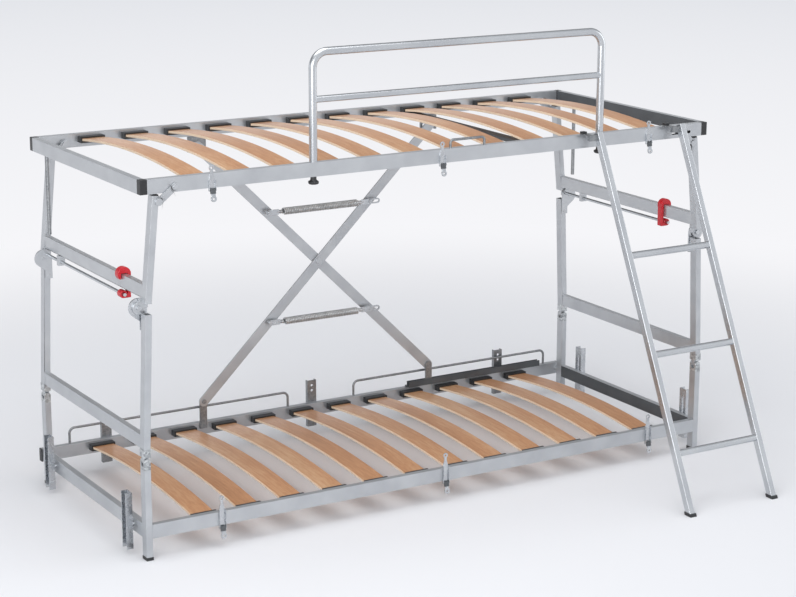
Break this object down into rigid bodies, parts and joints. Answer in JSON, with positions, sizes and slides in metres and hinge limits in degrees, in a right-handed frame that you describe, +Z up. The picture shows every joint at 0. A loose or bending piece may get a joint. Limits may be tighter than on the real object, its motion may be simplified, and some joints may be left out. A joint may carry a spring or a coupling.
{
  "type": "bunk bed mechanism",
  "caption": "Tubular steel frame of a sofa bed that unfolds into a bunk bed, with sprung beech slats, folding end frames, scissor brace, guard rail and ladder",
  "frame": {"origin": "Middle of the whole object's footprint, ladder included, on the floor; z is up from the floor", "axes": "+X runs along the beds to the right as seen from the front, +Y runs from the front rails and ladder to the back rails, +Z is up"},
  "size_m": [2.078, 1.3634, 1.449],
  "materials": {
    "silver_paint": "satin silver-grey powder coat",
    "galvanised_steel": "zinc-plated steel, slightly dull",
    "bright_tube": "bright zinc-plated tube and sheet",
    "beech": "clear-lacquered laminated beech",
    "black_plastic": "moulded black plastic",
    "red_plastic": "moulded red plastic",
    "charcoal_steel": "dark grey coated sheet steel"
  },
  "bodies": {
    "lower_bed": {"lower_front_rail": "silver_paint", "lower_back_rail": "silver_paint", "lower_end_rails": "silver_paint", "legs": "silver_paint", "leg_knuckles": "galvanised_steel", "lower_slats": "beech", "lower_slat_holders": "black_plastic", "lower_plastic_caps": "black_plastic", "arm_brackets": "galvanised_steel", "back_brackets": "galvanised_steel", "mattress_hoops": "galvanised_steel", "brace_track": "charcoal_steel", "brace_foot": "galvanised_steel", "lower_clip_bases": "bright_tube"},
    "left_lower_frame": {"left_lower_frame": "silver_paint", "left_knee_plates": "galvanised_steel"},
    "right_lower_frame": {"right_lower_frame": "silver_paint", "right_knee_plates": "galvanised_steel"},
    "left_upper_frame": {"left_upper_frame": "silver_paint", "left_hinge_plates": "galvanised_steel"},
    "right_upper_frame": {"right_upper_frame": "silver_paint", "right_hinge_plates": "galvanised_steel"},
    "left_latch": {"left_handle": "red_plastic", "left_latch_rod": "galvanised_steel"},
    "right_latch": {"right_handle": "red_plastic", "right_latch_rod": "galvanised_steel"},
    "upper_bed": {"upper_front_rail": "silver_paint", "upper_back_rail": "silver_paint", "upper_end_rails": "silver_paint", "upper_corner_plugs": "black_plastic", "upper_slats": "beech", "upper_slat_holders": "black_plastic", "upper_cross_member": "charcoal_steel", "stop_struts": "galvanised_steel", "rail_hoop": "galvanised_steel", "brace_seats": "galvanised_steel", "upper_clip_bases": "bright_tube"},
    "guard_rail": {"guard_rail": "bright_tube"},
    "left_knob": {"left_knob": "black_plastic"},
    "right_knob": {"right_knob": "black_plastic"},
    "ladder": {"ladder_stiles": "bright_tube", "ladder_rungs": "bright_tube", "ladder_hooks": "charcoal_steel", "ladder_caps": "black_plastic"},
    "brace_bar_a": {"brace_bar_a": "silver_paint"},
    "brace_bar_b": {"brace_bar_b": "silver_paint"},
    "brace_slider": {"brace_slider": "galvanised_steel"},
    "upper_spring": {"upper_spring": "galvanised_steel", "upper_spring_left_eye": "galvanised_steel"},
    "upper_spring_end": {"upper_spring_right_eye": "galvanised_steel"},
    "lower_spring": {"lower_spring": "galvanised_steel", "lower_spring_left_eye": "galvanised_steel"},
    "lower_spring_end": {"lower_spring_right_eye": "galvanised_steel"},
    "upper_clip_left": {"upper_clip_left": "bright_tube"},
    "upper_clip_middle": {"upper_clip_middle": "bright_tube"},
    "upper_clip_right": {"upper_clip_right": "bright_tube"},
    "lower_clip_left": {"lower_clip_left": "bright_tube"},
    "lower_clip_middle": {"lower_clip_middle": "bright_tube"},
    "lower_clip_right": {"lower_clip_right": "bright_tube"}
  },
  "joints": [
    {"name": "left_hip", "type": "hinge", "parent": "lower_bed", "child": "left_lower_frame", "pos_m": [-1.001, -0.15142, 0.299], "axis": [0, 1, 0], "range_deg": [0, 85]},
    {"name": "left_knee", "type": "hinge", "parent": "left_lower_frame", "child": "left_upper_frame", "pos_m": [-1.001, -0.15142, 0.747], "axis": [0, 1, 0], "range_deg": [-181, 0]},
    {"name": "bed_level", "type": "hinge", "parent": "left_upper_frame", "child": "upper_bed", "pos_m": [-0.895, -0.15142, 1.092], "axis": [0, 1, 0], "range_deg": [0, 96]},
    {"name": "right_hip", "type": "hinge", "parent": "lower_bed", "child": "right_lower_frame", "pos_m": [1.001, -0.15142, 0.299], "axis": [0, 1, 0], "range_deg": [-85.1, 0]},
    {"name": "right_knee", "type": "hinge", "parent": "right_lower_frame", "child": "right_upper_frame", "pos_m": [1.001, -0.15142, 0.747], "axis": [0, 1, 0], "range_deg": [0, 181]},
    {"name": "brace_swing", "type": "hinge", "parent": "lower_bed", "child": "brace_bar_a", "pos_m": [-0.44, 0.63758, 0.183], "axis": [0, 1, 0], "range_deg": [0, 36.5]},
    {"name": "brace_cross", "type": "hinge", "parent": "brace_bar_a", "child": "brace_bar_b", "pos_m": [0, 0.64058, 0.6125], "axis": [0, 1, 0], "range_deg": [-73, 0]},
    {"name": "brace_foot_turn", "type": "hinge", "parent": "brace_bar_b", "child": "brace_slider", "pos_m": [0.44, 0.64058, 0.183], "axis": [0, 1, 0], "range_deg": [0, 36.5]},
    {"name": "upper_spring_turn", "type": "hinge", "parent": "brace_bar_b", "child": "upper_spring", "pos_m": [-0.19321, 0.62108, 0.8011], "axis": [0, 1, 0], "range_deg": [0, 36.5]},
    {"name": "upper_spring_stretch", "type": "slide", "parent": "upper_spring", "child": "upper_spring_end", "axis": [1, 0, 0], "range_m": [0, 0.15], "deforming": ["upper_spring"]},
    {"name": "lower_spring_turn", "type": "hinge", "parent": "brace_bar_a", "child": "lower_spring", "pos_m": [-0.19321, 0.62108, 0.4239], "axis": [0, 1, 0], "range_deg": [-36.5, 0]},
    {"name": "lower_spring_stretch", "type": "slide", "parent": "lower_spring", "child": "lower_spring_end", "axis": [1, 0, 0], "range_m": [0, 0.15], "deforming": ["lower_spring"]},
    {"name": "left_latch_pull", "type": "slide", "parent": "left_upper_frame", "child": "left_latch", "axis": [0, -1, 0], "range_m": [0, 0.018], "stiffness_N_per_m": 500},
    {"name": "right_latch_pull", "type": "slide", "parent": "right_upper_frame", "child": "right_latch", "axis": [0, -1, 0], "range_m": [0, 0.018], "stiffness_N_per_m": 500},
    {"name": "guard_lift", "type": "slide", "parent": "upper_bed", "child": "guard_rail", "axis": [0, 0, 1], "range_m": [0, 0.09]},
    {"name": "ladder_lift", "type": "slide", "parent": "upper_bed", "child": "ladder", "axis": [0, 0, 1], "range_m": [0, 0.12]},
    {"name": "left_knob_turn", "type": "hinge", "parent": "upper_bed", "child": "left_knob", "pos_m": [-0.449, -0.15642, 1.065], "axis": [0, 0, 1], "continuous": true},
    {"name": "right_knob_turn", "type": "hinge", "parent": "upper_bed", "child": "right_knob", "pos_m": [0.575, -0.15642, 1.065], "axis": [0, 0, 1], "continuous": true},
    {"name": "upper_clip_left_swing", "type": "hinge", "parent": "upper_bed", "child": "upper_clip_left", "pos_m": [-0.781, -0.17342, 1.072], "axis": [-1, 0, 0], "range_deg": [0, 95]},
    {"name": "upper_clip_middle_swing", "type": "hinge", "parent": "upper_bed", "child": "upper_clip_middle", "pos_m": [-0.015, -0.17342, 1.072], "axis": [-1, 0, 0], "range_deg": [0, 95]},
    {"name": "upper_clip_right_swing", "type": "hinge", "parent": "upper_bed", "child": "upper_clip_right", "pos_m": [0.761, -0.17342, 1.072], "axis": [-1, 0, 0], "range_deg": [0, 95]},
    {"name": "lower_clip_left_swing", "type": "hinge", "parent": "lower_bed", "child": "lower_clip_left", "pos_m": [-0.77, -0.17342, 0.062], "axis": [-1, 0, 0], "range_deg": [0, 95]},
    {"name": "lower_clip_middle_swing", "type": "hinge", "parent": "lower_bed", "child": "lower_clip_middle", "pos_m": [0.005, -0.17342, 0.062], "axis": [-1, 0, 0], "range_deg": [0, 95]},
    {"name": "lower_clip_right_swing", "type": "hinge", "parent": "lower_bed", "child": "lower_clip_right", "pos_m": [0.797, -0.17342, 0.062], "axis": [-1, 0, 0], "range_deg": [0, 95]}
  ],
  "couplings": [
    {"joint": "left_knee", "follows": "left_hip", "ratio": -2.127},
    {"joint": "bed_level", "follows": "left_hip", "ratio": 1.127},
    {"joint": "right_hip", "follows": "left_hip", "ratio": -1},
    {"joint": "right_knee", "follows": "left_hip", "ratio": 2.127},
    {"joint": "brace_swing", "follows": "left_hip", "ratio": 0.4247},
    {"joint": "brace_cross", "follows": "left_hip", "ratio": -0.8494},
    {"joint": "brace_foot_turn", "follows": "left_hip", "ratio": 0.4247},
    {"joint": "upper_spring_turn", "follows": "left_hip", "ratio": 0.4247},
    {"joint": "lower_spring_turn", "follows": "left_hip", "ratio": -0.4247},
    {"joint": "upper_spring_stretch", "follows": "left_hip", "m_per_rad": 0.09979},
    {"joint": "lower_spring_stretch", "follows": "left_hip", "m_per_rad": 0.09979}
  ]
}
